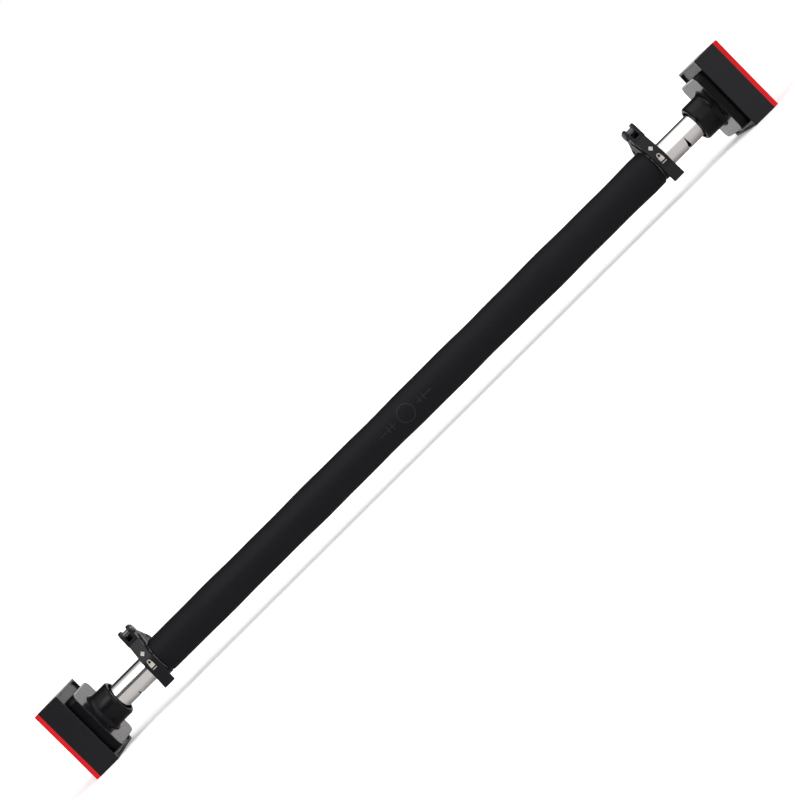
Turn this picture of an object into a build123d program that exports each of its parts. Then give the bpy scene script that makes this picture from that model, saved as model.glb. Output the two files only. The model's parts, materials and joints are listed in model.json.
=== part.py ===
from build123d import *
import os
from math import acos, atan2, cos, degrees, hypot, radians, sin

# Telescopic pull up bar that braces between two walls. Millimetres.
# X runs along the bar, Z is up, and the levers are on the -Y side.
# The bar stands on the lower edges of its two square pads, so Z = 0 is the floor.
# Each end is modelled on the +X side and mirrored to the -X side.

# ---- Driving sizes --------------------------------------------------------------------------
overall_length = 916.0
running_gap = 0.05          # radial clearance of a piece that turns or slides in another
face_gap = 0.1              # end clearance of a piece that turns against another
fastener_gap = 0.3          # radial clearance of a screw through a plain hole
through = 1.0               # how far a cutting shape stands past the face that it cuts

# Pads
pad_width = 85.0
hub_drop = 2.5              # the hub sits this far below the middle of the pad
wall_pad_thickness = 5.0
wall_pad_round = 1.5
groove_width = 1.2
groove_depth = 0.8
groove_pitch = 9.0
groove_margin = 7.0
block_thickness = 24.5
block_round = 0.8
block_wall = 3.0
block_front_wall = 5.0
recess_inset = 2.2          # rim left around the recess that the base plate sits in
recess_depth = 2.0
recess_corner = 6.0
recess_floor_round = 0.8
boss_diameter = 10.0
plate_width = 72.0          # across the bar, from front to back
plate_height = 68.0
plate_stand = 9.5           # the plate stands this far out of the block
plate_corner = 8.0
plate_round = 1.0
pad_screw_pitch = 50.0
pad_screw_diameter = 4.0
pad_screw_head = 8.0
pad_screw_head_height = 3.0
pad_screw_grip = 7.0        # how far the screws reach into the plate
bolt_head_room = 2.0        # radial room around the swivel bolt's head

# Socket hub and the swivel inside it
hub_length = 22.5
hub_flare = 2.7             # the foot is this much wider than the hub on each side
hub_flare_length = 5.0
hub_lip = 3.0               # radius of the rounded lip
hub_mouth_wall = 3.9
hub_mouth_gap = 2.4         # open ring around the tube at the mouth
hub_mouth_depth = 5.0
hub_mouth_chamfer = 0.3
hub_foot_edge = 0.6         # straight edge where the foot meets the plate
hub_floor = 5.0
hub_peg_diameter = 4.0
hub_peg_length = 3.0
washer_thickness = 1.6
swivel_diameter = 8.0
swivel_head = 13.0
swivel_head_height = 6.0
plug_length = 20.0
bolt_short_of_plug = 2.0    # the swivel bolt ends this far inside the plug

# Tubes
tube_diameter = 27.0
tube_wall = 1.5
tube_show = 44.0            # bright tube between the hub rim and the clamp
outer_tube_wall = 1.5
bush_wall = 0.95
mark_width = 4.4
mark_from_rim = 19.0
mark_length = 12.6
mark_lean = 1.0             # the mark leans towards the wall, in degrees
mark_turn = {"right": 0.0, "left": 38.0}   # how far each tube has been turned, in degrees

# Grip
grip_thickness = 3.5
grip_round = 1.2
grip_to_clamp = 1.0

# Travel
pull_out = 120.0
push_in = 36.0
least_overlap = 90.0        # inner tube left inside the outer tube when fully out
screw_diameter = 12.0
screw_journal = 10.0
screw_chamfer = 1.5
screw_past_nut = 2.0
travel_nut_length = 20.0
travel_nut_hold = 15.0      # screw left inside the travel nut when fully out
bulkhead_length = 10.0
bulkhead_to_tube = 4.0
lock_nut_width = 16.0
lock_nut_height = 8.0
rivet_diameter = 4.0
rivet_hold = 4.0            # how far a rivet reaches into the bulkhead
guide_length = 24.0
circlip_thickness = 1.2
circlip_bite = 0.5
circlip_gap = 0.25          # radial gap between a circlip and the outer tube
bush_length = 32.0
bush_flange = 1.0
bush_split = 2.0
slot_width = 2.0
slot_length = 30.0
slot_count = 4

# Clamp
ring_wall = 3.0
ring_width = 12.0
ring_round = 0.8
ring_split = 2.0
split_angle = 60.0          # the split's direction, up from +Y about the bar
bolt_diameter = 5.0
bolt_radius = 31.6          # distance of the bolt from the bar's axis
front_ear = 9.0
rear_ear = 8.0
ear_round = 3.0
ear_beyond_bolt = 6.0
saddle_height = 6.0
saddle_depth = 11.0
saddle_corner = 1.5
nut_diameter = 14.0
nut_height = 8.0
nut_edge = 0.6
nut_flutes = 20
flute_diameter = 1.2
flute_stand = 0.2           # a flute's centre stands this far outside the nut
bolt_beyond_nut = 2.0
bolt_short_of_pin = 1.0     # the stud ends this far inside the barrel pin

# Lever
lever_width = 12.6
lever_thickness = 3.5
lever_to_ring = 0.5
lever_round = 0.7
fork_width = 13.6
fork_slot = 7.0
pin_diameter = 7.0
pin_head = 9.0
pin_head_height = 2.0
pin_head_round = 0.8
pin_stand = 0.4             # the pin's plain end stands this far out of the fork
cam_radius = 6.3
cam_throw = 0.7             # the cam's centre stands off the pin by this much
cam_gap = 0.05
fork_reach = 10.0           # slot depth from the pin towards the tail
fork_overlap = 3.0          # how far the cheeks start before the slot
neck_inset = 0.8            # the neck is this much narrower than the cam on each side
tail_drop = 24.5            # below the bar's axis
tail_bend_drop = 9.0
tail_flare = 2.5

# ---- Worked-out sizes -----------------------------------------------------------------------
pad_middle = pad_width / 2
axis_height = pad_middle - hub_drop
outer_tube_inner = tube_diameter + 2 * (running_gap + bush_wall)
outer_tube_diameter = outer_tube_inner + 2 * outer_tube_wall
tube_inner = tube_diameter - 2 * tube_wall
grip_diameter = outer_tube_diameter + 2 * grip_thickness
ring_diameter = outer_tube_diameter + 2 * ring_wall
hub_bore = outer_tube_inner
hub_mouth = tube_diameter + 2 * hub_mouth_gap
hub_diameter = hub_mouth + 2 * hub_mouth_wall

# Stations along +X, from the wall inwards
wall_face = overall_length / 2
block_back = wall_face - wall_pad_thickness
block_front = block_back - block_thickness
plate_front = block_front - plate_stand
plate_back = block_front + recess_depth
hub_rim = plate_front - hub_length
hub_floor_face = plate_front - hub_floor
tube_end = hub_floor_face - washer_thickness - face_gap
clamp_outer = hub_rim - tube_show
clamp_centre = clamp_outer - ring_width / 2
clamp_inner = clamp_outer - ring_width
outer_tube_end = clamp_outer - bush_flange
grip_end = clamp_inner - grip_to_clamp
tube_start = clamp_outer - least_overlap - pull_out
screw_end = tube_start + pull_out + travel_nut_hold
bulkhead_face = tube_start - push_in - bulkhead_to_tube
bulkhead_back = bulkhead_face - bulkhead_length

# The clamp bolt: its local z runs along the bolt towards the lever, its local y away from the bar
bolt_plane = Plane(
    origin=(
        clamp_centre,
        bolt_radius * cos(radians(split_angle)),
        axis_height + bolt_radius * sin(radians(split_angle)),
    ),
    x_dir=(1, 0, 0),
    z_dir=(0, -sin(radians(split_angle)), cos(radians(split_angle))),
)
front_ear_top = ring_split / 2 + front_ear
rear_ear_end = -(ring_split / 2 + rear_ear)
saddle_top = front_ear_top + saddle_height
pin_station = saddle_top + cam_gap + cam_radius + cam_throw

# The lever's pin, seen along the bar: y, and z above the bar's axis
pin_centre = bolt_plane.from_local_coords((0, 0, pin_station))
pin_y = pin_centre.Y
pin_z = pin_centre.Z - axis_height


# ---- Shapes used more than once -------------------------------------------------------------
def rod(diameter, start, end):
    """A round bar on the bar's axis between two stations."""
    return Pos((start + end) / 2, 0, axis_height) * Rot(0, 90, 0) * Cylinder(diameter / 2, abs(end - start))


def sleeve(outer, inner, start, end):
    """A tube on the bar's axis between two stations."""
    return rod(outer, start, end) - rod(inner, start, end)


def slab(depth, height, middle, start, end):
    """A block between two stations: its depth from front to back, its height, and its middle's height."""
    return Pos((start + end) / 2, 0, middle) * Box(end - start, depth, height)


def ends_of(solid, station):
    """The edges of a solid that lie in one plane across the bar."""
    return solid.edges().filter_by_position(Axis.X, station - 0.01, station + 0.01)


def long_edges(solid):
    """The straight edges of a solid that run along the bar."""
    return solid.edges().filter_by(Axis.X)


def on_bolt(shape, low, high):
    """Put a shape that is centred on its own origin between two distances along the clamp bolt."""
    return bolt_plane * Pos(0, 0, (low + high) / 2) * shape


def screw_places(station):
    """The four pad screws' places, as locations that look along +X."""
    spread = pad_screw_pitch / 2
    return [
        Pos(station, y, axis_height + z) * Rot(0, 90, 0)
        for y in (-spread, spread)
        for z in (-spread, spread)
    ]


def screw_hole(diameter, start, end):
    """Four round holes or shanks on the pad screws' pattern."""
    middle = (start + end) / 2
    return Part() + [place * Cylinder(diameter / 2, end - start) for place in screw_places(middle)]


# ---- Pad end --------------------------------------------------------------------------------
def wall_pad():
    """Red rubber pad with upright anti-slip grooves in the face that bears on the wall."""
    pad = slab(pad_width, pad_width, pad_middle, block_back, wall_face)
    pad = fillet(ends_of(pad, wall_face), wall_pad_round)
    half_count = int((pad_width / 2 - groove_margin) / groove_pitch)
    groove = Box(2 * groove_depth, groove_width, pad_width - 2 * groove_margin)
    for step in range(half_count):
        for side in (-1, 1):
            pad -= Pos(wall_face, side * groove_pitch * (step + 0.5), pad_middle) * groove
    return pad


def pad_block():
    """Moulded block, ribbed on the side that the wall pad closes."""
    block = slab(pad_width, pad_width, pad_middle, block_front, block_back)
    block = fillet(ends_of(block, block_front), block_round)
    recess_width = pad_width - 2 * recess_inset
    recess = slab(recess_width, recess_width, pad_middle, block_front, plate_back)
    recess = fillet(long_edges(recess), recess_corner)
    recess = fillet(ends_of(recess, plate_back), recess_floor_round)
    block -= recess
    cell = (pad_width - 4 * block_wall) / 3
    cell_depth = block_thickness - block_front_wall
    pocket = Box(cell_depth, cell, cell)
    pitch = cell + block_wall
    for row in (-1, 0, 1):
        for column in (-1, 0, 1):
            block -= Pos(block_back - cell_depth / 2, row * pitch, pad_middle + column * pitch) * pocket
    block += screw_hole(boss_diameter, plate_back, block_back)
    block -= screw_hole(pad_screw_diameter + 2 * fastener_gap, plate_back, block_back)
    block -= screw_hole(pad_screw_head + 2 * fastener_gap, block_back - pad_screw_head_height, block_back)
    return block - rod(swivel_head + 2 * bolt_head_room, plate_back, block_front + block_front_wall)


def base_plate():
    """Flat plate with rounded corners, seated in the block's recess."""
    plate = slab(plate_width, plate_height, axis_height, plate_front, plate_back)
    plate = fillet(long_edges(plate), plate_corner)
    plate = fillet(ends_of(plate, plate_front), plate_round)
    plate -= rod(swivel_diameter + 2 * fastener_gap, plate_front, plate_back)
    plate -= screw_hole(pad_screw_diameter, plate_back - pad_screw_grip, plate_back)
    return plate - hub_pegs()


def hub_pegs():
    """Two pegs that keep the hub from turning on the plate."""
    spread = (hub_diameter + hub_bore) / 4
    peg = Rot(0, 90, 0) * Cylinder(hub_peg_diameter / 2, hub_peg_length)
    middle = plate_front + hub_peg_length / 2
    return Part() + [Pos(middle, 0, axis_height + side * spread) * peg for side in (-1, 1)]


def socket_hub():
    """Cup with a rounded lip and a flared foot, which the bright tube enters."""
    half = hub_diameter / 2
    flare = half + hub_flare
    mouth = hub_mouth / 2
    bore = hub_bore / 2
    pin = swivel_diameter / 2 + running_gap
    lip_turn = hub_lip * (1 - cos(radians(45)))
    foot_edge = plate_front - hub_foot_edge
    profile = Polyline(
        (hub_rim, mouth + hub_mouth_chamfer),
        (hub_rim, half - hub_lip),
    )
    lip = ThreePointArc(
        (hub_rim, half - hub_lip),
        (hub_rim + lip_turn, half - lip_turn),
        (hub_rim + hub_lip, half),
    )
    barrel = Line((hub_rim + hub_lip, half), (plate_front - hub_flare_length, half))
    foot = TangentArc(
        (plate_front - hub_flare_length, half),
        (foot_edge, flare),
        tangent=(1, 0),
    )
    inside = Polyline(
        (foot_edge, flare),
        (plate_front, flare),
        (plate_front, pin),
        (hub_floor_face, pin),
        (hub_floor_face, bore),
        (hub_rim + hub_mouth_depth, bore),
        (hub_rim + hub_mouth_depth, mouth),
        (hub_rim + hub_mouth_chamfer, mouth),
        (hub_rim, mouth + hub_mouth_chamfer),
    )
    outline = make_face([profile, lip, barrel, foot, inside])
    cup = revolve(Plane.XZ * outline, Axis.X)
    return Pos(0, 0, axis_height) * cup + hub_pegs()


def socket_bush():
    """Plain bearing pressed in the hub, in which the tube turns."""
    bore = tube_diameter + 2 * running_gap
    return sleeve(hub_bore, bore, hub_rim + hub_mouth_depth, hub_floor_face - washer_thickness)


def thrust_washer():
    """Washer that takes the bracing load from the tube's end."""
    bore = swivel_diameter + 2 * fastener_gap
    return sleeve(tube_diameter, bore, hub_floor_face - washer_thickness, hub_floor_face)


def pad_screws():
    """Four screws from the wall side, which hold block and plate together."""
    shanks = screw_hole(pad_screw_diameter, plate_back - pad_screw_grip, block_back)
    return shanks + screw_hole(pad_screw_head, block_back - pad_screw_head_height, block_back)


# ---- Bright tube ----------------------------------------------------------------------------
def circlip_stations():
    """The near faces of the two circlips on either side of the guide bush."""
    first = tube_start + circlip_thickness
    return (first, first + circlip_thickness + guide_length + 2 * face_gap)


def inner_tube(side):
    """Bright tube with circlip grooves and a V mark cut through its wall."""
    tube = sleeve(tube_diameter, tube_inner, tube_start, tube_end)
    groove = tube_diameter - 2 * circlip_bite
    for station in circlip_stations():
        tube -= sleeve(tube_diameter + 2 * through, groove, station, station + circlip_thickness)
    corners = [(0, 0), (mark_width / 2, -mark_length), (-mark_width / 2, -mark_length)]
    mark = make_face(Polyline(*corners, close=True))
    wedge = extrude(Plane.XZ * mark, tube_diameter / 2 + through)
    wedge = Rot(mark_turn[side], 0, 0) * Rot(0, -mark_lean, 0) * wedge
    return tube - Pos(hub_rim - mark_from_rim, 0, axis_height) * wedge


def guide_circlips():
    """Two rings that keep the guide bush on the tube."""
    bore = tube_diameter - 2 * circlip_bite
    outer = outer_tube_inner - 2 * circlip_gap
    rings = [
        sleeve(outer, bore, station, station + circlip_thickness)
        for station in circlip_stations()
    ]
    return Part() + rings


def travel_nut():
    """Threaded nut pressed in the tube's inner end, drawn with a plain bore."""
    bore = screw_diameter + 2 * running_gap
    return sleeve(tube_inner, bore, tube_start, tube_start + travel_nut_length)


def end_plug():
    """Steel plug in the tube's outer end, tapped for the swivel bolt."""
    return sleeve(tube_inner, swivel_diameter, tube_end - plug_length, tube_end)


def swivel_bolt():
    """Bolt that holds the pad on the tube and lets it turn."""
    head_face = plate_back + face_gap
    head = extrude(Plane.YZ * RegularPolygon(swivel_head / 2, 6), swivel_head_height)
    shank = rod(swivel_diameter, tube_end - plug_length + bolt_short_of_plug, head_face)
    return shank + Pos(head_face, 0, axis_height) * head


def guide_bush():
    """Nylon slider between the tube's inner end and the outer tube."""
    start = circlip_stations()[0] + circlip_thickness + face_gap
    outer = outer_tube_inner - 2 * running_gap
    return sleeve(outer, tube_diameter + 2 * running_gap, start, start + guide_length)


# ---- Lead screw in the outer tube -----------------------------------------------------------
def lead_screw():
    """Rod on which the travel nut runs. Its thread is drawn as a plain cylinder."""
    thread = rod(screw_diameter, bulkhead_face, screw_end)
    thread = chamfer(ends_of(thread, screw_end), screw_chamfer)
    return thread + rod(screw_journal, bulkhead_back - lock_nut_height - screw_past_nut, bulkhead_face)


def screw_bulkhead():
    """Plug across the outer tube that carries the lead screw."""
    plug = sleeve(outer_tube_inner, screw_journal, bulkhead_back, bulkhead_face)
    return plug - bulkhead_rivets()


def screw_lock_nut():
    """Hexagon nut behind the bulkhead."""
    nut = extrude(Plane.YZ * RegularPolygon(lock_nut_width / 2, 6), lock_nut_height)
    nut = Pos(bulkhead_back - lock_nut_height, 0, axis_height) * nut
    return nut - rod(screw_journal, bulkhead_back - lock_nut_height, bulkhead_back)


def bulkhead_rivets():
    """Two flush rivets through the outer tube's wall into the bulkhead."""
    middle = (bulkhead_back + bulkhead_face) / 2
    length = outer_tube_wall + rivet_hold
    shank = Rot(90, 0, 0) * Cylinder(rivet_diameter / 2, length)
    reach = (outer_tube_diameter - length) / 2
    pair = Part() + [Pos(middle, side * reach, axis_height) * shank for side in (-1, 1)]
    return pair & rod(outer_tube_diameter, bulkhead_back, bulkhead_face)


# ---- Clamp ----------------------------------------------------------------------------------
def clamp_ring():
    """Split ring with two ears, which the bolt draws together on the slotted tube."""
    ring = sleeve(ring_diameter, outer_tube_diameter, clamp_inner, clamp_outer)
    ring = fillet(ends_of(ring, clamp_inner).group_by(SortBy.RADIUS)[-1], ring_round)
    ring = fillet(ends_of(ring, clamp_outer).group_by(SortBy.RADIUS)[-1], ring_round)
    foot = outer_tube_diameter / 2 - bolt_radius
    height = ear_beyond_bolt - foot
    for low, high in ((0, front_ear_top), (rear_ear_end, 0)):
        ear = Pos(0, foot + height / 2, 0) * Box(ring_width, height, high - low)
        outer_edges = ear.edges().filter_by(Axis.Z).sort_by(Axis.Y)[-2:]
        ear = fillet(outer_edges, ear_round)
        ring += on_bolt(ear, low, high)
    split_height = height + 2 * through
    ring -= bolt_plane * Pos(0, foot + height / 2, 0) * Box(ring_width, split_height, ring_split)
    hole = Cylinder(bolt_diameter / 2 + fastener_gap, front_ear_top - rear_ear_end)
    ring -= on_bolt(hole, rear_ear_end, front_ear_top)
    return ring - rod(outer_tube_diameter, clamp_inner, clamp_outer)


def clamp_bolt():
    """Stud from the barrel pin, through both ears, to the adjusting nut."""
    low = rear_ear_end - face_gap - nut_height - bolt_beyond_nut
    high = pin_station + pin_diameter / 2 - bolt_short_of_pin
    return on_bolt(Cylinder(bolt_diameter / 2, high - low), low, high)


def barrel_pin():
    """Cross pin in the lever's fork, with a head on the side of the grip."""
    place = Pos(0, pin_y, pin_z)
    near = clamp_centre - fork_width / 2
    far = clamp_centre + fork_width / 2
    pin = rod(pin_diameter, near - face_gap, far + pin_stand)
    head_end = near - face_gap - pin_head_height
    head = rod(pin_head, head_end, near - face_gap)
    head = fillet(ends_of(head, head_end), pin_head_round)
    return place * (pin + head) - clamp_bolt()


def cam_saddle():
    """Flat block between the front ear and the lever's cams."""
    block = Box(fork_width, saddle_depth, saddle_height)
    block = fillet(block.edges().filter_by(Axis.Z), saddle_corner)
    block -= Cylinder(bolt_diameter / 2 + fastener_gap, saddle_height)
    return on_bolt(block, front_ear_top, saddle_top)


def adjusting_nut():
    """Fluted thumb nut that sets how tightly the lever clamps."""
    nut = Cylinder(nut_diameter / 2, nut_height)
    nut = chamfer(nut.edges().filter_by(GeomType.CIRCLE), nut_edge)
    flute = Cylinder(flute_diameter / 2, nut_height)
    nut -= [place * flute for place in PolarLocations(nut_diameter / 2 + flute_stand, nut_flutes)]
    nut -= Cylinder(bolt_diameter / 2 + running_gap, nut_height)
    top = rear_ear_end - face_gap
    return on_bolt(nut, top - nut_height, top)


# ---- Lever ----------------------------------------------------------------------------------
# Seen along the bar: a tail, a band around the ring, and a straight run to the fork.
# An angle of 0 is the front of the bar and 90 is its top.
band_inner = ring_diameter / 2 + lever_to_ring
band_outer = band_inner + lever_thickness
band_middle = (band_inner + band_outer) / 2
pin_distance = hypot(pin_y, pin_z)
band_end = degrees(atan2(pin_z, -pin_y)) - degrees(acos(band_middle / pin_distance))
run_length = (pin_distance**2 - band_middle**2) ** 0.5
run_y = sin(radians(band_end))
run_z = cos(radians(band_end))


def around(radius, angle):
    """A point at an angle up from the front of the bar."""
    return (-radius * cos(radians(angle)), radius * sin(radians(angle)))


def along_run(radius, distance):
    """A point on the straight run, at a distance from where the band leaves the ring."""
    y, z = around(radius, band_end)
    return (y + run_y * distance, z + run_z * distance)


def lever_band():
    """Tail, curved band and straight run, in one strip."""
    end = run_length - fork_reach
    outer = [
        Polyline(
            (-band_outer - tail_flare, -tail_drop),
            (-band_outer, -tail_bend_drop),
            around(band_outer, 0),
        ),
        ThreePointArc(around(band_outer, 0), around(band_outer, band_end / 2), around(band_outer, band_end)),
        Line(along_run(band_outer, 0), along_run(band_outer, end)),
    ]
    inner = [
        Line(along_run(band_inner, end), along_run(band_inner, 0)),
        ThreePointArc(around(band_inner, band_end), around(band_inner, band_end / 2), around(band_inner, 0)),
        Polyline(
            around(band_inner, 0),
            (-band_inner, -tail_bend_drop),
            (-band_inner - tail_flare, -tail_drop),
        ),
    ]
    joins = [
        Line(along_run(band_outer, end), along_run(band_inner, end)),
        Line((-band_inner - tail_flare, -tail_drop), (-band_outer - tail_flare, -tail_drop)),
    ]
    outline = make_face(outer + inner + joins)
    strip = Plane.YZ * outline
    band = Pos(clamp_centre - lever_width / 2, 0, axis_height) * extrude(strip, lever_width)
    sides = band.faces().filter_by(Axis.X)
    return fillet(sides.edges(), lever_round)


def lever_fork():
    """Two cheeks with eccentric heads, which press on the saddle when the lever is down."""
    start = run_length - fork_reach - fork_overlap
    half_head = cam_radius - neck_inset
    neck = make_face(
        Polyline(
            along_run(band_outer, start),
            along_run(band_middle + half_head, run_length),
            along_run(band_middle - half_head, run_length),
            along_run(band_inner, start),
            close=True,
        )
    )
    cam = bolt_plane.from_local_coords((0, 0, pin_station - cam_throw))
    head = Pos(cam.Y, cam.Z - axis_height) * Circle(cam_radius)
    cheeks = extrude(Plane.YZ * (neck + head), fork_width)
    cheeks = Pos(clamp_centre - fork_width / 2, 0, axis_height) * cheeks
    run_plane = Plane(origin=pin_centre, x_dir=(1, 0, 0), z_dir=(0, run_y, run_z))
    slot = Box(fork_slot, 4 * cam_radius, fork_reach + 2 * cam_radius)
    cheeks -= run_plane * Pos(0, 0, cam_radius - fork_reach / 2) * slot
    bore = rod(pin_diameter + 2 * running_gap, clamp_centre - fork_width, clamp_centre + fork_width)
    return cheeks - Pos(0, pin_y, pin_z) * bore


def lock_lever():
    """Quick-release lever that squeezes the clamp ring."""
    return lever_band() + lever_fork()


# ---- Outer tube and grip --------------------------------------------------------------------
def end_bush():
    """Split nylon bush that the clamp closes on the bright tube."""
    bore = tube_diameter + 2 * running_gap
    bush = sleeve(outer_tube_inner, bore, outer_tube_end - bush_length, outer_tube_end)
    bush += sleeve(outer_tube_diameter, bore, outer_tube_end, clamp_outer)
    gap = Box(bush_length + bush_flange, outer_tube_diameter, bush_split)
    middle = (outer_tube_end - bush_length + clamp_outer) / 2
    place = Pos(middle, 0, axis_height) * Rot(split_angle, 0, 0) * Pos(0, outer_tube_diameter / 2, 0)
    return bush - place * gap


def outer_tube():
    """Main steel tube, slotted at both ends so that the clamps can close it."""
    tube = sleeve(outer_tube_diameter, outer_tube_inner, -outer_tube_end, outer_tube_end)
    slot = Pos(0, outer_tube_diameter / 2, 0) * Box(slot_length, outer_tube_diameter / 2, slot_width)
    for side in (-1, 1):
        middle = side * (outer_tube_end - slot_length / 2)
        for step in range(slot_count):
            turn = split_angle + step * 360 / slot_count
            tube -= Pos(middle, 0, axis_height) * Rot(turn, 0, 0) * slot
    rivets = bulkhead_rivets()
    return tube - rivets - mirror(rivets, about=Plane.YZ)


def grip_sleeve():
    """Foam sleeve over the middle of the bar."""
    grip = sleeve(grip_diameter, outer_tube_diameter, -grip_end, grip_end)
    for end in (-grip_end, grip_end):
        grip = fillet(ends_of(grip, end).group_by(SortBy.RADIUS)[-1], grip_round)
    return grip


# ---- Write each sub-part --------------------------------------------------------------------
END_PARTS = {
    "wall_pad": wall_pad,
    "pad_block": pad_block,
    "base_plate": base_plate,
    "socket_hub": socket_hub,
    "socket_bush": socket_bush,
    "thrust_washer": thrust_washer,
    "pad_screws": pad_screws,
    "guide_circlips": guide_circlips,
    "travel_nut": travel_nut,
    "end_plug": end_plug,
    "swivel_bolt": swivel_bolt,
    "guide_bush": guide_bush,
    "lead_screw": lead_screw,
    "screw_bulkhead": screw_bulkhead,
    "screw_lock_nut": screw_lock_nut,
    "bulkhead_rivets": bulkhead_rivets,
    "clamp_ring": clamp_ring,
    "clamp_bolt": clamp_bolt,
    "barrel_pin": barrel_pin,
    "cam_saddle": cam_saddle,
    "adjusting_nut": adjusting_nut,
    "lock_lever": lock_lever,
    "end_bush": end_bush,
}

pieces = {"outer_tube": outer_tube(), "grip_sleeve": grip_sleeve()}
for name, make in END_PARTS.items():
    right = make()
    pieces[name + "_right"] = right
    pieces[name + "_left"] = mirror(right, about=Plane.YZ)
pieces["inner_tube_right"] = inner_tube("right")
pieces["inner_tube_left"] = mirror(inner_tube("left"), about=Plane.YZ)

os.makedirs("parts", exist_ok=True)
for name, solid in pieces.items():
    export_step(solid, os.path.join("parts", name + ".step"))
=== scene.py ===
# %% [markdown]
# # A telescopic pull up bar
# The bar braces between two walls. Both ends are alike: a red rubber pad on a ribbed block, a hub
# that a bright tube enters, and a quick-release lever that clamps the tube. A foam grip covers the
# middle. The CAD model gives every moving part, so this lesson adds finishes and fine shapes to it.

# %% Load the frame
import math
import bpy
from mathutils import Matrix, Vector
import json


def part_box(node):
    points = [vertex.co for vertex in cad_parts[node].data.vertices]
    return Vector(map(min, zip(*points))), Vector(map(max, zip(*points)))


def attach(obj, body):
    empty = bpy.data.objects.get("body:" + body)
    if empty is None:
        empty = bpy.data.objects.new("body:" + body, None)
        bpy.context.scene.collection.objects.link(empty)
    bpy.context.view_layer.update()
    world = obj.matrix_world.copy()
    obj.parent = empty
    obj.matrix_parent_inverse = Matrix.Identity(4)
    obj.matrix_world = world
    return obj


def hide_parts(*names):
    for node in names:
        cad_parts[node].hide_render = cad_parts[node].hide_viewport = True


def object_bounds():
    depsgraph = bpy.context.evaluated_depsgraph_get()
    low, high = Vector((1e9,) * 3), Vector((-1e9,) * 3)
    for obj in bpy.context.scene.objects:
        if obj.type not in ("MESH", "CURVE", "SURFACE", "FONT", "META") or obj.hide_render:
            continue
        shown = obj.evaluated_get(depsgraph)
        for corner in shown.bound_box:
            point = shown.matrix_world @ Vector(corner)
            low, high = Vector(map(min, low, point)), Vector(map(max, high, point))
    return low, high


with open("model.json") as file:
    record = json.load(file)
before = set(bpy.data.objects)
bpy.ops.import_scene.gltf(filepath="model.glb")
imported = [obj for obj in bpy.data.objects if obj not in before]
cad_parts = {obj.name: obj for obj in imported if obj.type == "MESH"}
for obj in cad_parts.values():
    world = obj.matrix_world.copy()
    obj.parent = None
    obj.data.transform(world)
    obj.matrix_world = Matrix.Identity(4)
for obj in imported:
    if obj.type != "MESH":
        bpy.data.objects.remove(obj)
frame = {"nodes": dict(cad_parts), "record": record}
cad_low, cad_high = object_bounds()
nodes = frame["nodes"]
SIDES = {"left": -1, "right": 1}
for plain in list(bpy.data.materials):
    bpy.data.materials.remove(plain)

# %% [markdown]
# ## Measures
# Every place comes from the CAD model's own boxes, so a new piece lands where the real one sits
# without any fitting. The bar's axis is the middle of the bright tube's box.

# %% Measures from the CAD boxes
tube_low, tube_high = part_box("inner_tube_right")
AXIS_Z = (tube_low.z + tube_high.z) / 2
grip_low, grip_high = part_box("grip_sleeve")
GRIP_RADIUS = (grip_high.z - grip_low.z) / 2
steel_low, steel_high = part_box("outer_tube")
STEEL_RADIUS = (steel_high.z - steel_low.z) / 2
lever_low, lever_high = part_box("lock_lever_right")
LEVER_X = (lever_low.x + lever_high.x) / 2
print(f"bar axis at z = {AXIS_Z:.4f}, lever centre at x = {LEVER_X:.4f}")

# %% [markdown]
# ## The camera
# The bar is seen from the front and a little from above. The camera is turned about its own line of
# sight by an eighth of a turn, so that the long bar runs from corner to corner of a square picture.

# %% Camera
VIEW_DISTANCE = 1.6288
VIEW_AZIMUTH = math.radians(1.21)
VIEW_ELEVATION = math.radians(1.99)
VIEW_ROLL = math.radians(44.88)
VIEW_LENS = 74.96
VIEW_TARGET = Vector((0.0044, 0.0, 0.0523))


def add_camera():
    back = Vector((
        math.sin(VIEW_AZIMUTH) * math.cos(VIEW_ELEVATION),
        -math.cos(VIEW_AZIMUTH) * math.cos(VIEW_ELEVATION),
        math.sin(VIEW_ELEVATION),
    ))
    level = (-back).cross(Vector((0, 0, 1))).normalized()
    upright = level.cross(-back)
    right = level * math.cos(VIEW_ROLL) - upright * math.sin(VIEW_ROLL)
    up = level * math.sin(VIEW_ROLL) + upright * math.cos(VIEW_ROLL)
    data = bpy.data.cameras.new("view_camera")
    data.lens = VIEW_LENS
    data.clip_start = 0.05
    data.clip_end = 60
    camera = bpy.data.objects.new("view_camera", data)
    bpy.context.scene.collection.objects.link(camera)
    turn = Matrix((right, up, back)).transposed().to_4x4()
    camera.matrix_world = Matrix.Translation(VIEW_TARGET + back * VIEW_DISTANCE) @ turn
    bpy.context.scene.camera = camera
    return camera


camera = add_camera()
print("camera stands at", tuple(round(c, 3) for c in camera.matrix_world.translation))

# %% [markdown]
# ## Floor, room and lamps
# The bar stands on a plain white floor in a white room. Dark plastic and polished steel only show what
# they mirror, so the room is planned for its reflections: it is bright low down behind the bar, where
# faces seen at a slant look, and overhead. It is dark higher up behind the bar, which draws a fine line
# along each tube, and dark straight in front, which keeps the black parts deep. The right of the
# front is open and bright, so the right-hand end is paler than the left.

# %% Colour handling
bpy.context.scene.view_settings.view_transform = "Standard"
print("colours are shown as", bpy.context.scene.view_settings.view_transform)

# %% [markdown]
# A node, a spread of values or a sum takes Blender several lines each. The helpers below say each in one
# line, so that the room and the finishes read as lists of their values.

# %% Helpers for pieces and node trees


def deselect():
    """Nothing selected and nothing in edit mode, so that the next operator touches one piece."""
    if bpy.context.object and bpy.context.object.mode != "OBJECT":
        bpy.ops.object.mode_set(mode="OBJECT")
    bpy.ops.object.select_all(action="DESELECT")


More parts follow.
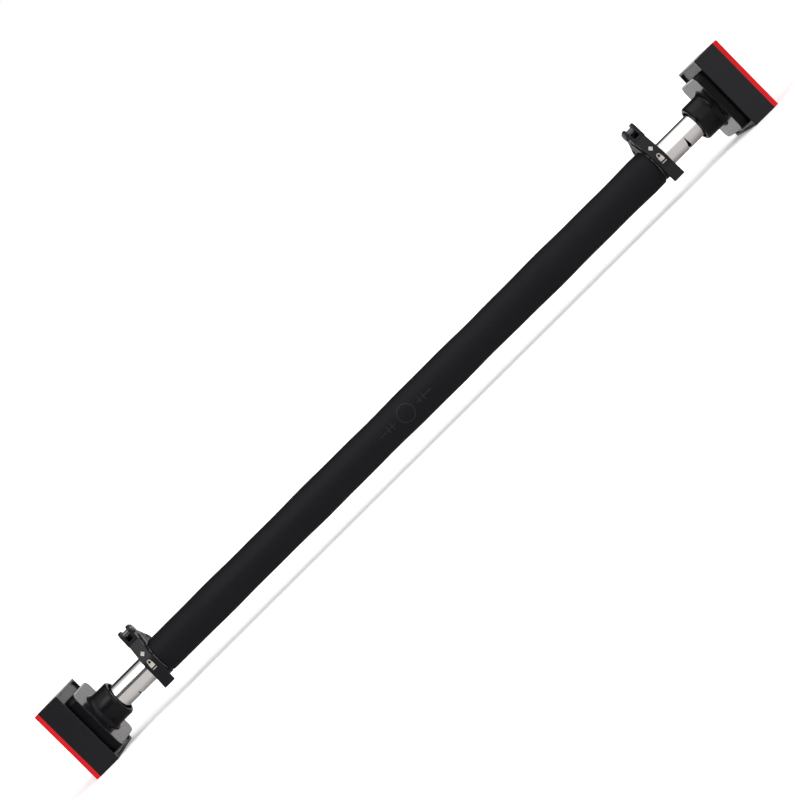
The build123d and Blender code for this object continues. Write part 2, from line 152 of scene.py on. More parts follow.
def add_node(tree, kind, **settings):
    """A node of a kind, with its settings and its plain input values."""
    node = tree.nodes.new(kind)
    for key, value in settings.items():
        if key in node.inputs:
            node.inputs[key].default_value = value
        else:
            setattr(node, key, value)
    return node


def remap(tree, value, low, high, from_low=0.3, from_high=0.7, soft=False):
    """A value spread between two others, and held there beyond them."""
    node = tree.nodes.new("ShaderNodeMapRange")
    if soft:
        node.interpolation_type = "SMOOTHSTEP"
    node.inputs["From Min"].default_value = from_low
    node.inputs["From Max"].default_value = from_high
    node.inputs["To Min"].default_value = low
    node.inputs["To Max"].default_value = high
    tree.links.new(value, node.inputs["Value"])
    return node.outputs["Result"]


def combine(tree, operation, first, second):
    """Two values put together by one sum."""
    node = tree.nodes.new("ShaderNodeMath")
    node.operation = operation
    tree.links.new(first, node.inputs[0])
    if hasattr(second, "links"):
        tree.links.new(second, node.inputs[1])
    else:
        node.inputs[1].default_value = second
    return node.outputs["Value"]


print("node helpers ready")

# %% The white room
FRONT_DARK = 0.10
BACK_DARK = 0.04
BACK_BRIGHT = 1.4
OPEN_SIDE = 1.4
OVERHEAD = 0.7
FRONT_CLIMB = (0.25, 0.75)
SIDE_OPENS = (0.02, 0.20)
BACK_DIMS = (0.26, 0.42)
BACK_CLEARS = (0.87, 0.99)
FRONT_TO_BACK = (-0.08, 0.08)


def add_room():
    world = bpy.data.worlds.new("white_room")
    bpy.context.scene.world = world
    world.use_nodes = True
    tree = world.node_tree
    tree.nodes.clear()
    place = tree.nodes.new("ShaderNodeTexCoord")
    way = tree.nodes.new("ShaderNodeSeparateXYZ")
    tree.links.new(place.outputs["Generated"], way.inputs["Vector"])
    x, y, z = (way.outputs[axis] for axis in "XYZ")

    raised = remap(tree, z, FRONT_DARK, OVERHEAD, *FRONT_CLIMB, soft=True)
    opened = remap(tree, x, FRONT_DARK, OPEN_SIDE, *SIDE_OPENS, soft=True)
    front = combine(tree, "MAXIMUM", raised, opened)

    low_back = remap(tree, z, BACK_BRIGHT, BACK_DARK, *BACK_DIMS, soft=True)
    high_back = remap(tree, z, BACK_DARK, OVERHEAD, *BACK_CLEARS, soft=True)
    back = combine(tree, "MAXIMUM", low_back, high_back)

    behind = remap(tree, y, 0.0, 1.0, *FRONT_TO_BACK, soft=True)
    room = add_node(tree, "ShaderNodeMix", data_type="FLOAT")
    tree.links.new(behind, room.inputs["Factor"])
    tree.links.new(front, room.inputs["A"])
    tree.links.new(back, room.inputs["B"])
    seen = tree.nodes.new("ShaderNodeLightPath")
    shown = add_node(tree, "ShaderNodeMix", data_type="FLOAT", B=1.0)
    tree.links.new(room.outputs["Result"], shown.inputs["A"])
    tree.links.new(seen.outputs["Is Camera Ray"], shown.inputs["Factor"])
    light = add_node(tree, "ShaderNodeBackground", Color=(1, 1, 1, 1))
    out = tree.nodes.new("ShaderNodeOutputWorld")
    tree.links.new(shown.outputs["Result"], light.inputs["Strength"])
    tree.links.new(light.outputs["Background"], out.inputs["Surface"])


add_room()
print("room ready")

# %% Lamps


def add_lamp(name, place, aim, width, height, power):
    data = bpy.data.lights.new(name, "AREA")
    data.shape = "RECTANGLE"
    data.size = width
    data.size_y = height
    data.energy = power
    lamp = bpy.data.objects.new(name, data)
    bpy.context.scene.collection.objects.link(lamp)
    lamp.location = place
    lamp.rotation_euler = (Vector(aim) - Vector(place)).to_track_quat("-Z", "Y").to_euler()
    return lamp


add_lamp("overhead_soft", (0.2, -0.3, 1.5), (0, 0, 0), 2.4, 1.4, 6)
add_lamp("left_high_soft", (-1.1, -1.5, 1.5), (-0.3, 0, 0), 0.9, 0.9, 9)
print("two lamps in place")

# %% [markdown]
# The floor is white and evenly lit, so bright that it burns out and only the shadow close under the bar
# is left. A little glow of its own, only for what the lens sees directly, does that without flooding
# the bar with light from below. The glow grows with the distance from the bar, so the shadow stays.

# %% Floor
deselect()
bpy.ops.mesh.primitive_plane_add(size=24, location=(0, 0, cad_low.z))
floor = bpy.context.object
floor.name = "studio_floor"
bpy.ops.object.transform_apply(location=True, rotation=True, scale=True)
FLOOR_GLOW = 0.30
FAR_GLOW = 0.9
GLOW_GROWS = (0.08, 0.6)
FLOOR_PAINT = (0.80, 0.775, 0.76, 1)
FLOOR_SEEN = (0.99, 0.99, 0.99, 1)


def floor_finish():
    paint = bpy.data.materials.new("floor_white")
    paint.use_nodes = True
    tree = paint.node_tree
    shader = tree.nodes["Principled BSDF"]
    shader.inputs["Roughness"].default_value = 0.6
    shader.inputs["Emission Color"].default_value = (1, 1, 1, 1)
    seen = tree.nodes.new("ShaderNodeLightPath")
    white = add_node(tree, "ShaderNodeMix", data_type="RGBA", A=FLOOR_PAINT, B=FLOOR_SEEN)
    tree.links.new(seen.outputs["Is Camera Ray"], white.inputs["Factor"])
    tree.links.new(white.outputs["Result"], shader.inputs["Base Color"])
    place = tree.nodes.new("ShaderNodeTexCoord")
    way = tree.nodes.new("ShaderNodeSeparateXYZ")
    tree.links.new(place.outputs["Object"], way.inputs["Vector"])
    away = combine(tree, "ABSOLUTE", way.outputs["Y"], 0.0)
    strength = remap(tree, away, FLOOR_GLOW, FAR_GLOW, *GLOW_GROWS, soft=True)
    glow = combine(tree, "MULTIPLY", seen.outputs["Is Camera Ray"], strength)
    tree.links.new(glow, shader.inputs["Emission Strength"])
    return paint


floor.data.materials.append(floor_finish())
print("floor at z =", round(cad_low.z, 4))

# %% [markdown]
# ## Shared effects
# Moulded and coated parts share three effects: a fine grain, slow patches in the gloss where hands
# and boxes have rubbed, and edges that are a little paler from wear. The grain and the patches come
# from one node group, the worn edges from a second, and a third draws the fine rings on turned metal.
# Each is built once, so that every finish can set its own scale and strength.

# %% Node group helpers


def new_group(name, inputs, outputs):
    """An empty node group with float inputs, and outputs as (name, socket type)."""
    group = bpy.data.node_groups.new(name, "ShaderNodeTree")
    for label, value in inputs:
        socket = group.interface.new_socket(label, in_out="INPUT", socket_type="NodeSocketFloat")
        socket.default_value = value
    for label, kind in outputs:
        group.interface.new_socket(label, in_out="OUTPUT", socket_type=kind)
    start = group.nodes.new("NodeGroupInput")
    end = group.nodes.new("NodeGroupOutput")
    return group, start, end


def scaled_noise(tree, start, scale_name, detail):
    """A noise texture on object coordinates, whose scale is one of the group's inputs."""
    place = add_node(tree, "ShaderNodeTexCoord")
    noise = add_node(tree, "ShaderNodeTexNoise", Detail=detail)
    tree.links.new(place.outputs["Object"], noise.inputs["Vector"])
    tree.links.new(start.outputs[scale_name], noise.inputs["Scale"])
    return noise


print("group helpers ready")

# %% Grain group


def build_grain():
    """A height for the fine leathery grain of a moulding, and slow patches."""
    group, start, end = new_group(
        "moulded_grain",
        [("Scale", 900.0), ("Patch Scale", 14.0)],
        [("Height", "NodeSocketFloat"), ("Patches", "NodeSocketFloat")],
    )
    place = add_node(group, "ShaderNodeTexCoord")
    pits = add_node(group, "ShaderNodeTexVoronoi", feature="SMOOTH_F1", Smoothness=0.6)
    group.links.new(place.outputs["Object"], pits.inputs["Vector"])
    group.links.new(start.outputs["Scale"], pits.inputs["Scale"])
    fine = scaled_noise(group, start, "Scale", 3.0)
    both = add_node(group, "ShaderNodeMath", operation="ADD")
    group.links.new(pits.outputs["Distance"], both.inputs[0])
    group.links.new(fine.outputs["Fac"], both.inputs[1])
    patch = scaled_noise(group, start, "Patch Scale", 4.0)
    group.links.new(both.outputs["Value"], end.inputs["Height"])
    group.links.new(patch.outputs["Fac"], end.inputs["Patches"])
    return group


GRAIN = build_grain()
print("made", GRAIN.name)

# %% Edge wear group
FLAT_GROUND = 0.99      # how well the rounded and the true normal agree away from any edge
SHARP_EDGE = 0.75       # and on an edge
RUB_SPOTS = (0.38, 0.62)


def build_edge_wear():
    """A mask that is 1 along sharp edges, broken up by noise, and 0 on flat ground."""
    group, start, end = new_group(
        "edge_wear",
        [("Width", 0.0012), ("Amount", 1.0), ("Break Scale", 160.0)],
        [("Mask", "NodeSocketFloat")],
    )
    rounded = add_node(group, "ShaderNodeBevel", samples=6)
    ground = add_node(group, "ShaderNodeNewGeometry")
    agree = add_node(group, "ShaderNodeVectorMath", operation="DOT_PRODUCT")
    group.links.new(start.outputs["Width"], rounded.inputs["Radius"])
    group.links.new(rounded.outputs["Normal"], agree.inputs[0])
    group.links.new(ground.outputs["Normal"], agree.inputs[1])
    edge = remap(group, agree.outputs["Value"], 0.0, 1.0, FLAT_GROUND, SHARP_EDGE)
    rub = scaled_noise(group, start, "Break Scale", 5.0)
    spots = remap(group, rub.outputs["Fac"], 0.0, 1.0, *RUB_SPOTS)
    worn = combine(group, "MULTIPLY", edge, spots)
    scaled = add_node(group, "ShaderNodeMath", operation="MULTIPLY", use_clamp=True)
    group.links.new(worn, scaled.inputs[0])
    group.links.new(start.outputs["Amount"], scaled.inputs[1])
    group.links.new(scaled.outputs["Value"], end.inputs["Mask"])
    return group


EDGE_WEAR = build_edge_wear()
print("made", EDGE_WEAR.name)

# %% Turned lines group


def build_turned_lines():
    """Fine rings around the bar's axis, as a lathe or a polishing belt leaves them."""
    group, start, end = new_group(
        "turned_lines",
        [("Lines", 900.0), ("Wander", 0.5)],
        [("Height", "NodeSocketFloat"), ("Streaks", "NodeSocketFloat")],
    )
    place = add_node(group, "ShaderNodeTexCoord")
    split = add_node(group, "ShaderNodeSeparateXYZ")
    group.links.new(place.outputs["Object"], split.inputs["Vector"])
    along = add_node(group, "ShaderNodeMath", operation="MULTIPLY")
    group.links.new(split.outputs["X"], along.inputs[0])
    group.links.new(start.outputs["Lines"], along.inputs[1])
    around = add_node(group, "ShaderNodeCombineXYZ")
    group.links.new(along.outputs["Value"], around.inputs["X"])
    slow = add_node(group, "ShaderNodeVectorMath", operation="SCALE", Scale=12.0)
    group.links.new(place.outputs["Object"], slow.inputs[0])
    wander = add_node(group, "ShaderNodeTexNoise", Scale=1.0, Detail=2.0)
    group.links.new(slow.outputs["Vector"], wander.inputs["Vector"])
    shift = add_node(group, "ShaderNodeMath", operation="MULTIPLY")
    group.links.new(wander.outputs["Fac"], shift.inputs[0])
    group.links.new(start.outputs["Wander"], shift.inputs[1])
    group.links.new(shift.outputs["Value"], around.inputs["Y"])
    lines = add_node(group, "ShaderNodeTexNoise", Scale=1.0, Detail=3.0)
    group.links.new(around.outputs["Vector"], lines.inputs["Vector"])
    group.links.new(lines.outputs["Fac"], end.inputs["Height"])
    group.links.new(wander.outputs["Fac"], end.inputs["Streaks"])
    return group


TURNED_LINES = build_turned_lines()
print("node groups:", [g.name for g in bpy.data.node_groups])

# %% [markdown]
# ## Finishes
# A coated or moulded finish is the same recipe each time: a base colour that wear makes paler, a gloss
# that wanders a little, and a bump from the grain. One function makes it from a handful of values.
# Plain numbers such as the specular level are set on the shader itself.

# %% A moulded or coated finish


def new_material(name):
    material = bpy.data.materials.new(name)
    material.use_nodes = True
    return material, material.node_tree, material.node_tree.nodes["Principled BSDF"]


def add_group(tree, group, **values):
    node = tree.nodes.new("ShaderNodeGroup")
    node.node_tree = group
    for key, value in values.items():
        node.inputs[key.replace("_", " ")].default_value = value
    return node


def mix_colour(tree, factor, plain, changed):
    """A colour that goes from plain to changed as a mask rises."""
    node = add_node(tree, "ShaderNodeMix", data_type="RGBA", A=(*plain, 1), B=(*changed, 1))
    tree.links.new(factor, node.inputs["Factor"])
    return node.outputs["Result"]


def add_bump(tree, shader, height, distance):
    bump = tree.nodes.new("ShaderNodeBump")
    bump.inputs["Distance"].default_value = distance
    tree.links.new(height, bump.inputs["Height"])
    tree.links.new(bump.outputs["Normal"], shader.inputs["Normal"])


def grained_finish(name, colour, worn, roughness, grain, depth, ior=1.3, wear=0.6):
    """A moulded or powder-coated surface."""
    material, tree, shader = new_material(name)
    texture = add_group(tree, GRAIN, Scale=grain)
    edges = add_group(tree, EDGE_WEAR, Amount=wear)
    tree.links.new(mix_colour(tree, edges.outputs["Mask"], colour, worn), shader.inputs["Base Color"])
    gloss = remap(tree, texture.outputs["Patches"], roughness - 0.05, roughness + 0.07)
    tree.links.new(gloss, shader.inputs["Roughness"])
    shader.inputs["IOR"].default_value = ior
    add_bump(tree, shader, texture.outputs["Height"], depth)
    return material


def grey(value):
    """A near-black that leans a little to violet, as black plastic and foam do under a cool light."""
    return (value, value * 0.94, value * 1.24)


block_plastic = grained_finish("block_plastic", grey(0.0095), grey(0.05), 0.24, 1100, 0.00002, ior=1.33)
# The plate's base colour is darker than the block's: painted shade on the plate.
plate_plastic_painted_shade = grained_finish(
    "plate_plastic_painted_shade", grey(0.004), grey(0.04), 0.26, 1100, 0.000006, ior=1.2, wear=0.3)
hub_plastic = grained_finish("hub_plastic", grey(0.005), grey(0.05), 0.25, 1300, 0.00001, ior=1.27)
clamp_coat = grained_finish("clamp_black", grey(0.008), grey(0.06), 0.32, 1600, 0.00002)
lever_coat = grained_finish("lever_coat", grey(0.009), grey(0.10), 0.34, 1500, 0.00002, wear=0.9)
nut_coat = grained_finish("nut_black", grey(0.010), grey(0.20), 0.30, 1600, 0.00002, ior=1.4, wear=1.0)
mark_foam = grained_finish("mark_foam", grey(0.017), grey(0.03), 0.50, 1400, 0.00002, wear=0.3)
nylon = grained_finish("nylon", grey(0.009), grey(0.03), 0.40, 700, 0.00002, wear=0.3)
print("coated finishes ready")

# %% [markdown]
# ### Clear coat, and painted shade on the sides
# The base plates take a clear coat whose weight follows the face's own direction: strong where it looks
# along the bar, weaker on the sides. That weaker coat and the plate's darker colour are painted shade.

# %% Clear coat, with painted shade on the sides
POLISH_IOR = 1.7
POLISH_ROUGHNESS = 0.16
SIDE_COAT_FOR_SHADE = 0.4
POLISH_FACES = 0.9


def coat_with_shaded_sides(material):
    """A clear coat, stronger on faces that look along the bar than on its sides, where it is painted shade.
    """
    tree = material.node_tree
    place = tree.nodes.new("ShaderNodeTexCoord")
    way = tree.nodes.new("ShaderNodeSeparateXYZ")
    tree.links.new(place.outputs["Normal"], way.inputs["Vector"])
    along = combine(tree, "ABSOLUTE", way.outputs["X"], 0.0)
    shader = tree.nodes["Principled BSDF"]
    shader.inputs["Coat IOR"].default_value = POLISH_IOR
    shader.inputs["Coat Roughness"].default_value = POLISH_ROUGHNESS
    weight = remap(tree, along, 0.0, 1.0, SIDE_COAT_FOR_SHADE, POLISH_FACES)
    tree.links.new(weight, shader.inputs["Coat Weight"])


# The weaker coat on the plate's sides is painted shade.
coat_with_shaded_sides(plate_plastic_painted_shade)
print("polish on", plate_plastic_painted_shade.name)

# %% [markdown]
# ### Red rubber
# The wall pads are dull red rubber. The red is deeper in slow patches and dusty on the worn edges, and a
# weak, wide highlight makes it look like rubber instead of paint.

# %% Red rubber


def rubber_finish():
    material, tree, shader = new_material("red_rubber")
    texture = add_group(tree, GRAIN, Scale=1500, Patch_Scale=22)
    edges = add_group(tree, EDGE_WEAR, Amount=0.7, Break_Scale=240)
    patches = remap(tree, texture.outputs["Patches"], 0, 1)
    base = mix_colour(tree, patches, (0.84, 0.004, 0.009), (0.72, 0.003, 0.008))
    pale = add_node(tree, "ShaderNodeMix", data_type="RGBA", B=(0.88, 0.06, 0.06, 1))
    tree.links.new(edges.outputs["Mask"], pale.inputs["Factor"])
    tree.links.new(base, pale.inputs["A"])
    tree.links.new(pale.outputs["Result"], shader.inputs["Base Color"])
    tree.links.new(remap(tree, texture.outputs["Patches"], 0.55, 0.68), shader.inputs["Roughness"])
    shader.inputs["Specular IOR Level"].default_value = 0.3
    add_bump(tree, shader, texture.outputs["Height"], 0.00005)
    return material


red_rubber = rubber_finish()
print("rubber ready")

# %% [markdown]
# ### Metals
# The bright tube is plated and then polished on a belt, which leaves rings around it. The lines are a
# height for the bump and they also stretch the gloss. The plain steel inside is duller.

# %% Metals


def turned_metal(name, colour, dull, roughness, lines, depth):
    """Metal with rings around the bar's axis."""
    material, tree, shader = new_material(name)
    rings = add_group(tree, TURNED_LINES, Lines=lines)
    stain = remap(tree, rings.outputs["Streaks"], 0, 1, 0.45, 0.75)
    tree.links.new(mix_colour(tree, stain, colour, dull), shader.inputs["Base Color"])
    gloss = remap(tree, rings.outputs["Height"], roughness - 0.06, roughness + 0.08)
    tree.links.new(gloss, shader.inputs["Roughness"])
    shader.inputs["Metallic"].default_value = 1.0
    add_bump(tree, shader, rings.outputs["Height"], depth)
    return material


bright_tube = turned_metal("bright_tube", (0.80, 0.785, 0.78), (0.72, 0.70, 0.69), 0.14, 1500, 0.000008)
pin_silver = turned_metal("pin_silver", (0.12, 0.12, 0.125), (0.07, 0.07, 0.075), 0.30, 2400, 0.00001)
zinc_steel = turned_metal("zinc_steel", (0.58, 0.59, 0.60), (0.47, 0.48, 0.50), 0.36, 1800, 0.00001)
tube_steel = turned_metal("tube_steel", (0.46, 0.46, 0.47), (0.36, 0.36, 0.37), 0.42, 700, 0.00001)
spring_steel = turned_metal("spring_steel", (0.16, 0.16, 0.17), (0.10, 0.10, 0.11), 0.38, 2200, 0.00001)
bronze = turned_metal("bronze", (0.62, 0.41, 0.17), (0.45, 0.29, 0.12), 0.32, 1500, 0.00001)
print("metals ready")

# %% [markdown]
# ### Foam
# The grip is closed-cell foam with a skin. It is almost black, nearly matte, and its pores show only
# as a fine unevenness, so the colour hardly changes and the bump does the work.

# %% Foam


def foam_finish():
    material, tree, shader = new_material("grip_foam")
    texture = add_group(tree, GRAIN, Scale=1400, Patch_Scale=9)
    pores = remap(tree, texture.outputs["Height"], 0, 1, 0.7, 1.2)
    tree.links.new(mix_colour(tree, pores, grey(0.005), grey(0.009)), shader.inputs["Base Color"])
    tree.links.new(remap(tree, texture.outputs["Patches"], 0.50, 0.62), shader.inputs["Roughness"])
    shader.inputs["IOR"].default_value = 1.25
    add_bump(tree, shader, texture.outputs["Height"], 0.00009)
    return material


grip_foam = foam_finish()
print("foam ready")

# %% [markdown]
# ### Sign paint
# The signs on the levers are screen printed in off-white. The ink is a little uneven, so its colour and
# its gloss both follow small patches, and the grain of the lever shows through as a bump.

# %% Sign paint


def print_finish():
    material, tree, shader = new_material("sign_paint")
    texture = add_group(tree, GRAIN, Scale=2200, Patch_Scale=300)
    patches = remap(tree, texture.outputs["Patches"], 0, 1)
    ink = mix_colour(tree, patches, (0.72, 0.66, 0.60), (0.50, 0.46, 0.42))
    tree.links.new(ink, shader.inputs["Base Color"])
    tree.links.new(remap(tree, texture.outputs["Patches"], 0.45, 0.6), shader.inputs["Roughness"])
    add_bump(tree, shader, texture.outputs["Height"], 0.00002)
    return material


SIGN_PAINT = print_finish()
print("sign paint ready")

# %% [markdown]
# ## Finishes on the CAD parts
# The record says which finish each node has, by slot. Each finish above has the name of its slot, so
# the two meet by name and no part can be missed. The base plates are the same plastic as the blocks, but
# they take a darker, clear-coated copy afterwards, whose darkness and weak coat on the sides are painted
# shade.

# %% Give each CAD node its finish
FINISHES = {m.name: m for m in (
    block_plastic, hub_plastic, clamp_coat, lever_coat, nut_coat, nylon, red_rubber,
    bright_tube, pin_silver, zinc_steel, tube_steel, spring_steel, bronze, grip_foam,
)}
for row in frame["record"]["subparts"]:
    part = nodes[row["node"]]
    part.data.materials.clear()
    part.data.materials.append(FINISHES[row["material_slot"]])
# The plates get the darker, coated copy of the block plastic, as painted shade.
for side in SIDES:
    nodes["base_plate_" + side].data.materials[0] = plate_plastic_painted_shade

# %% [markdown]
# ## Tools for the new pieces
# Every new piece starts as a primitive at its real place and is shaped in edit mode. The helpers below
# do what a hand does with the mouse: pick faces by where they are, and close a piece by giving it
# smooth shading, a body to ride on and a finish.

# %% Picking, and modifiers


def edit(piece):
    """Only this piece selected, in edit mode, with nothing picked."""
    deselect()
    piece.select_set(True)
    bpy.context.view_layer.objects.active = piece
    bpy.ops.object.mode_set(mode="EDIT")
    bpy.ops.mesh.select_all(action="DESELECT")


def pick(piece, kind, wanted):
    """In edit mode, pick the vertices, edges or faces that a test accepts."""
    modes = {"vertices": "VERT", "edges": "EDGE", "polygons": "FACE"}
    bpy.ops.mesh.select_mode(type=modes[kind])
    bpy.ops.object.mode_set(mode="OBJECT")
    mesh = piece.data
    for group in (mesh.vertices, mesh.edges, mesh.polygons):
        group.foreach_set("select", [False] * len(group))
    for item in getattr(mesh, kind):
        item.select = wanted(item)
    bpy.ops.object.mode_set(mode="EDIT")


def apply_modifier(piece, kind, **settings):
    """Add a modifier with its settings and apply it at once."""
    deselect()
    piece.select_set(True)
    bpy.context.view_layer.objects.active = piece
    modifier = piece.modifiers.new(kind.lower(), kind)
    for key, value in settings.items():
        setattr(modifier, key, value)
    bpy.ops.object.modifier_apply(modifier=modifier.name)


print("tools for picking and for modifiers ready")

# %% Closing a piece


def finish_piece(piece, name, body, finish, smooth=40):
    """Smooth shading, place in the mesh, a body and a finish."""
    deselect()
    piece.name = name
    piece.select_set(True)
    bpy.context.view_layer.objects.active = piece
    bpy.ops.object.transform_apply(location=True, rotation=True, scale=True)
    bpy.ops.object.mode_set(mode="EDIT")
    bpy.ops.mesh.select_all(action="SELECT")
    bpy.ops.mesh.remove_doubles(threshold=0.000002)
    bpy.ops.mesh.normals_make_consistent(inside=False)
    bpy.ops.object.mode_set(mode="OBJECT")
    bpy.ops.object.shade_smooth_by_angle(angle=math.radians(smooth))
    piece.data.materials.clear()
    piece.data.materials.append(finish)
    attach(piece, body)
    print(name, "has", len(piece.data.polygons), "faces and rides on", body)


# %% [markdown]
# ## The foam grip
# The real grip is a foam tube pushed over the steel. Its ends are cut and the skin rolls in a little, so
# each end has a soft round lip. The way chosen is an open cylinder whose long edges are subdivided, so
# that it can swell and thin by a few tenths of a millimetre as extruded foam does. Solidify gives it
# its wall, and a bevel rounds the outer rims. Last, the skin is let out by up to a millimetre towards
# the right, where the real grip looks thicker.

# %% Foam grip
GRIP_SIDES = 96
GRIP_BANDS = 46
LIP_ROUND = 0.0022
SWELL = 0.00022
SWELL_ROOM = 1.7        # the skin starts this many swells inside the CAD grip, more than a wave can rise
LONG_WAVE = 41
SHORT_WAVE = 97
SHORT_SHARE = 0.6
SHORT_START = 1.3
TAPER = 0.00095


def make_grip():
    length = grip_high.x - grip_low.x
    deselect()
    bpy.ops.mesh.primitive_cylinder_add(
        vertices=GRIP_SIDES, radius=GRIP_RADIUS, depth=length, end_fill_type="NOTHING",
        location=(0, 0, AXIS_Z), rotation=(0, math.pi / 2, 0),
    )
    grip = bpy.context.object
    bpy.ops.object.transform_apply(location=True, rotation=True, scale=True)
    edit(grip)
    pick(grip, "edges", lambda e: abs(
        grip.data.vertices[e.vertices[0]].co.x - grip.data.vertices[e.vertices[1]].co.x) > length / 2)
    bpy.ops.mesh.subdivide(number_cuts=GRIP_BANDS)
    bpy.ops.object.mode_set(mode="OBJECT")
    for vertex in grip.data.vertices:
        x = vertex.co.x
        wave = math.sin(x * LONG_WAVE) + SHORT_SHARE * math.sin(x * SHORT_WAVE + SHORT_START)
        around = Vector((0, vertex.co.y, vertex.co.z - AXIS_Z))
        rounding = max(0.0, abs(x) - (length / 2 - LIP_ROUND)) / LIP_ROUND
        change = wave * SWELL * (1 - rounding) - SWELL * SWELL_ROOM
        vertex.co += around.normalized() * change
    wall = GRIP_RADIUS - STEEL_RADIUS - SWELL
    apply_modifier(grip, "SOLIDIFY", thickness=wall, offset=-1, use_even_offset=True)
    edit(grip)
    pick(grip, "edges", lambda e: on_rim(grip, e, length / 2))
    bpy.ops.mesh.bevel(offset=LIP_ROUND, segments=5, profile=0.5, affect="EDGES")
    bpy.ops.object.mode_set(mode="OBJECT")
    for vertex in grip.data.vertices:
        around = Vector((0, vertex.co.y, vertex.co.z - AXIS_Z))
        skin = (around.length - STEEL_RADIUS) / (GRIP_RADIUS - STEEL_RADIUS)
        vertex.co += around.normalized() * TAPER * max(0.0, skin) * (vertex.co.x / length + 0.5)
    return grip


def on_rim(grip, edge, end):
    """An edge of the outer rim at one of the grip's two ends."""
    ends = [grip.data.vertices[i].co for i in edge.vertices]
    out = min(math.hypot(c.y, c.z - AXIS_Z) for c in ends)
    return all(abs(abs(c.x) - end) < 0.0001 for c in ends) and out > (GRIP_RADIUS + STEEL_RADIUS) / 2


foam_grip = make_grip()
finish_piece(foam_grip, "foam_grip", "bar", FINISHES["grip_foam"])
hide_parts("grip_sleeve")

# %% [markdown]
# ## The centring mark
# The middle of the grip has a faint raised mark, so that hands can be set evenly on each side of it. Here
# it is a plain ring with a barred line on each side, which says "centre" without any lettering. Flat
# shapes are cut small, wrapped on the foam by the Shrinkwrap modifier and given a thin wall.

# %% Flat shapes that wrap on a surface


def flat_ring(radius, width, place, sides=48):
    """A flat ring that faces the front, made by extruding a circle outwards."""
    deselect()
    bpy.ops.mesh.primitive_circle_add(
        vertices=sides, radius=radius, fill_type="NOTHING", location=place, rotation=(math.pi / 2, 0, 0))
    ring = bpy.context.object
    edit(ring)
    bpy.ops.mesh.select_all(action="SELECT")
    bpy.ops.mesh.extrude_region_move()
    grow = (radius + width) / radius
    bpy.ops.transform.resize(value=(grow, grow, grow))
    bpy.ops.object.mode_set(mode="OBJECT")
    bpy.ops.object.transform_apply(location=True, rotation=True, scale=True)
    return ring


def flat_shape(corners, place):
    """A flat outline that faces the front. Its corners are x and z distances from its place."""
    deselect()
    bpy.ops.mesh.primitive_circle_add(
        vertices=len(corners), radius=0.001, fill_type="NGON", location=place, rotation=(math.pi / 2, 0, 0))
    shape = bpy.context.object
    bpy.ops.object.transform_apply(location=True, rotation=True, scale=True)
    for vertex, (across, up) in zip(shape.data.vertices, corners):
        vertex.co = Vector(place) + Vector((across, 0, up))
    return shape


def join(parts):
    """One object from several."""
    deselect()
    for part in parts:
        part.select_set(True)
    bpy.context.view_layer.objects.active = parts[0]
    if len(parts) > 1:
        bpy.ops.object.join()
    return bpy.context.object


def wrap(shape, ground, cuts, stand):
    """Cut a flat shape small, lay it on the ground it faces, and give it a thin wall."""
    edit(shape)
    bpy.ops.mesh.select_all(action="SELECT")
    bpy.ops.mesh.quads_convert_to_tris()
    for _ in range(cuts):
        bpy.ops.mesh.subdivide(number_cuts=1)
    bpy.ops.object.mode_set(mode="OBJECT")
    apply_modifier(
        shape, "SHRINKWRAP", target=ground, wrap_method="PROJECT", use_project_y=True,
        use_positive_direction=True, use_negative_direction=False, offset=0.0)
    for vertex in shape.data.vertices:
        vertex.co.y -= stand
    edit(shape)
    bpy.ops.mesh.select_all(action="SELECT")
    bpy.ops.mesh.remove_doubles(threshold=0.000002)
    bpy.ops.mesh.extrude_region_move(TRANSFORM_OT_translate={"value": (0, 2 * stand, 0)})
    bpy.ops.object.mode_set(mode="OBJECT")
    return shape


# %% Centring mark
MARK_RING = 0.0085
MARK_LINE = 0.0012
MARK_STAND = 0.00022
BAR_SPAN = (0.0145, 0.034)
TICKS_AT = (0.0185, 0.0235)
TICK_HALF = 0.004
IN_FRONT = 0.01


def bar_outline(start, end, half):
    return [(start, -half), (end, -half), (end, half), (start, half)]


before_foam = (0, grip_low.y - IN_FRONT, AXIS_Z)
mark_parts = [flat_ring(MARK_RING, MARK_LINE, before_foam, sides=64)]
for side in (-1, 1):
    ends = [side * end for end in BAR_SPAN]
    mark_parts.append(flat_shape(bar_outline(*ends, MARK_LINE / 2), before_foam))
    for step in TICKS_AT:
        tick = [(side * step + x, z) for x, z in bar_outline(-MARK_LINE / 2, MARK_LINE / 2, TICK_HALF)]
        mark_parts.append(flat_shape(tick, before_foam))
centre_mark = wrap(join(mark_parts), foam_grip, 2, MARK_STAND)
finish_piece(centre_mark, "centre_mark", "bar", mark_foam)

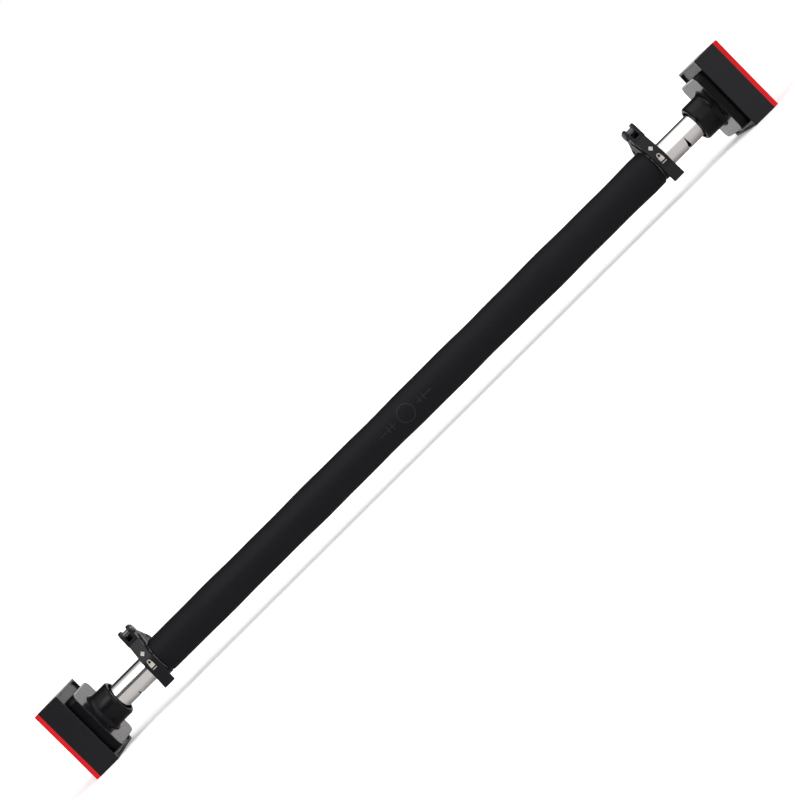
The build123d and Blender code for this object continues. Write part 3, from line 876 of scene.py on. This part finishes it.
# %% [markdown]
# ## Signs on the levers
# Each lever tells that it locks the bar. A pale diamond and a closed padlock with a line under it, printed
# on the front of the band, say it to a reader of any language. They are thin raised shapes, so they stay
# in the mesh.

# %% Padlock and diamond
SIGN_STAND = 0.00010
SIGN_HALF = 0.0026
DIAMOND_UP = 0.0145
DIAMOND_HALF = 0.0027
LOCK_UP = 0.002
LOCK_TOP = 0.0008
LOCK_FOOT = -0.0036
SHACKLE = (0.0021, 0.0013, 0.0018)      # outer radius, inner radius, length of the straight legs
LINE_UP = -0.0036
LINE_HALF = 0.0004


def shackle_outline(outer, inner, straight, steps=8):
    """The arch of a padlock: two straight legs and half a ring."""
    turns = [math.pi * step / steps for step in range(steps + 1)]
    over = [(outer * math.cos(a), straight + outer * math.sin(a)) for a in turns]
    under = [(inner * math.cos(a), straight + inner * math.sin(a)) for a in reversed(turns)]
    return [(outer, 0)] + over + [(-outer, 0), (-inner, 0)] + under + [(inner, 0)]


def lever_sign(side, sign):
    x = sign * LEVER_X
    front = lever_low.y - IN_FRONT
    diamond = [(0, DIAMOND_HALF), (-SIGN_HALF, 0), (0, -DIAMOND_HALF), (SIGN_HALF, 0)]
    body = [(-SIGN_HALF, LOCK_FOOT), (SIGN_HALF, LOCK_FOOT), (SIGN_HALF, LOCK_TOP), (-SIGN_HALF, LOCK_TOP)]
    shackle = shackle_outline(*SHACKLE)
    parts = [
        flat_shape(diamond, (x, front, AXIS_Z + DIAMOND_UP)),
        flat_shape(body, (x, front, AXIS_Z + LOCK_UP)),
        flat_shape(shackle, (x, front, AXIS_Z + LOCK_UP + LOCK_TOP)),
        flat_shape(bar_outline(-SIGN_HALF, SIGN_HALF, LINE_HALF), (x, front, AXIS_Z + LINE_UP)),
    ]
    lever = nodes["lock_lever_" + side]
    mark = wrap(join(parts), lever, 3, SIGN_STAND)
    finish_piece(mark, "lever_sign_" + side, "lever_" + side, SIGN_PAINT)


for side, sign in SIDES.items():
    lever_sign(side, sign)

# %% Import json
import json
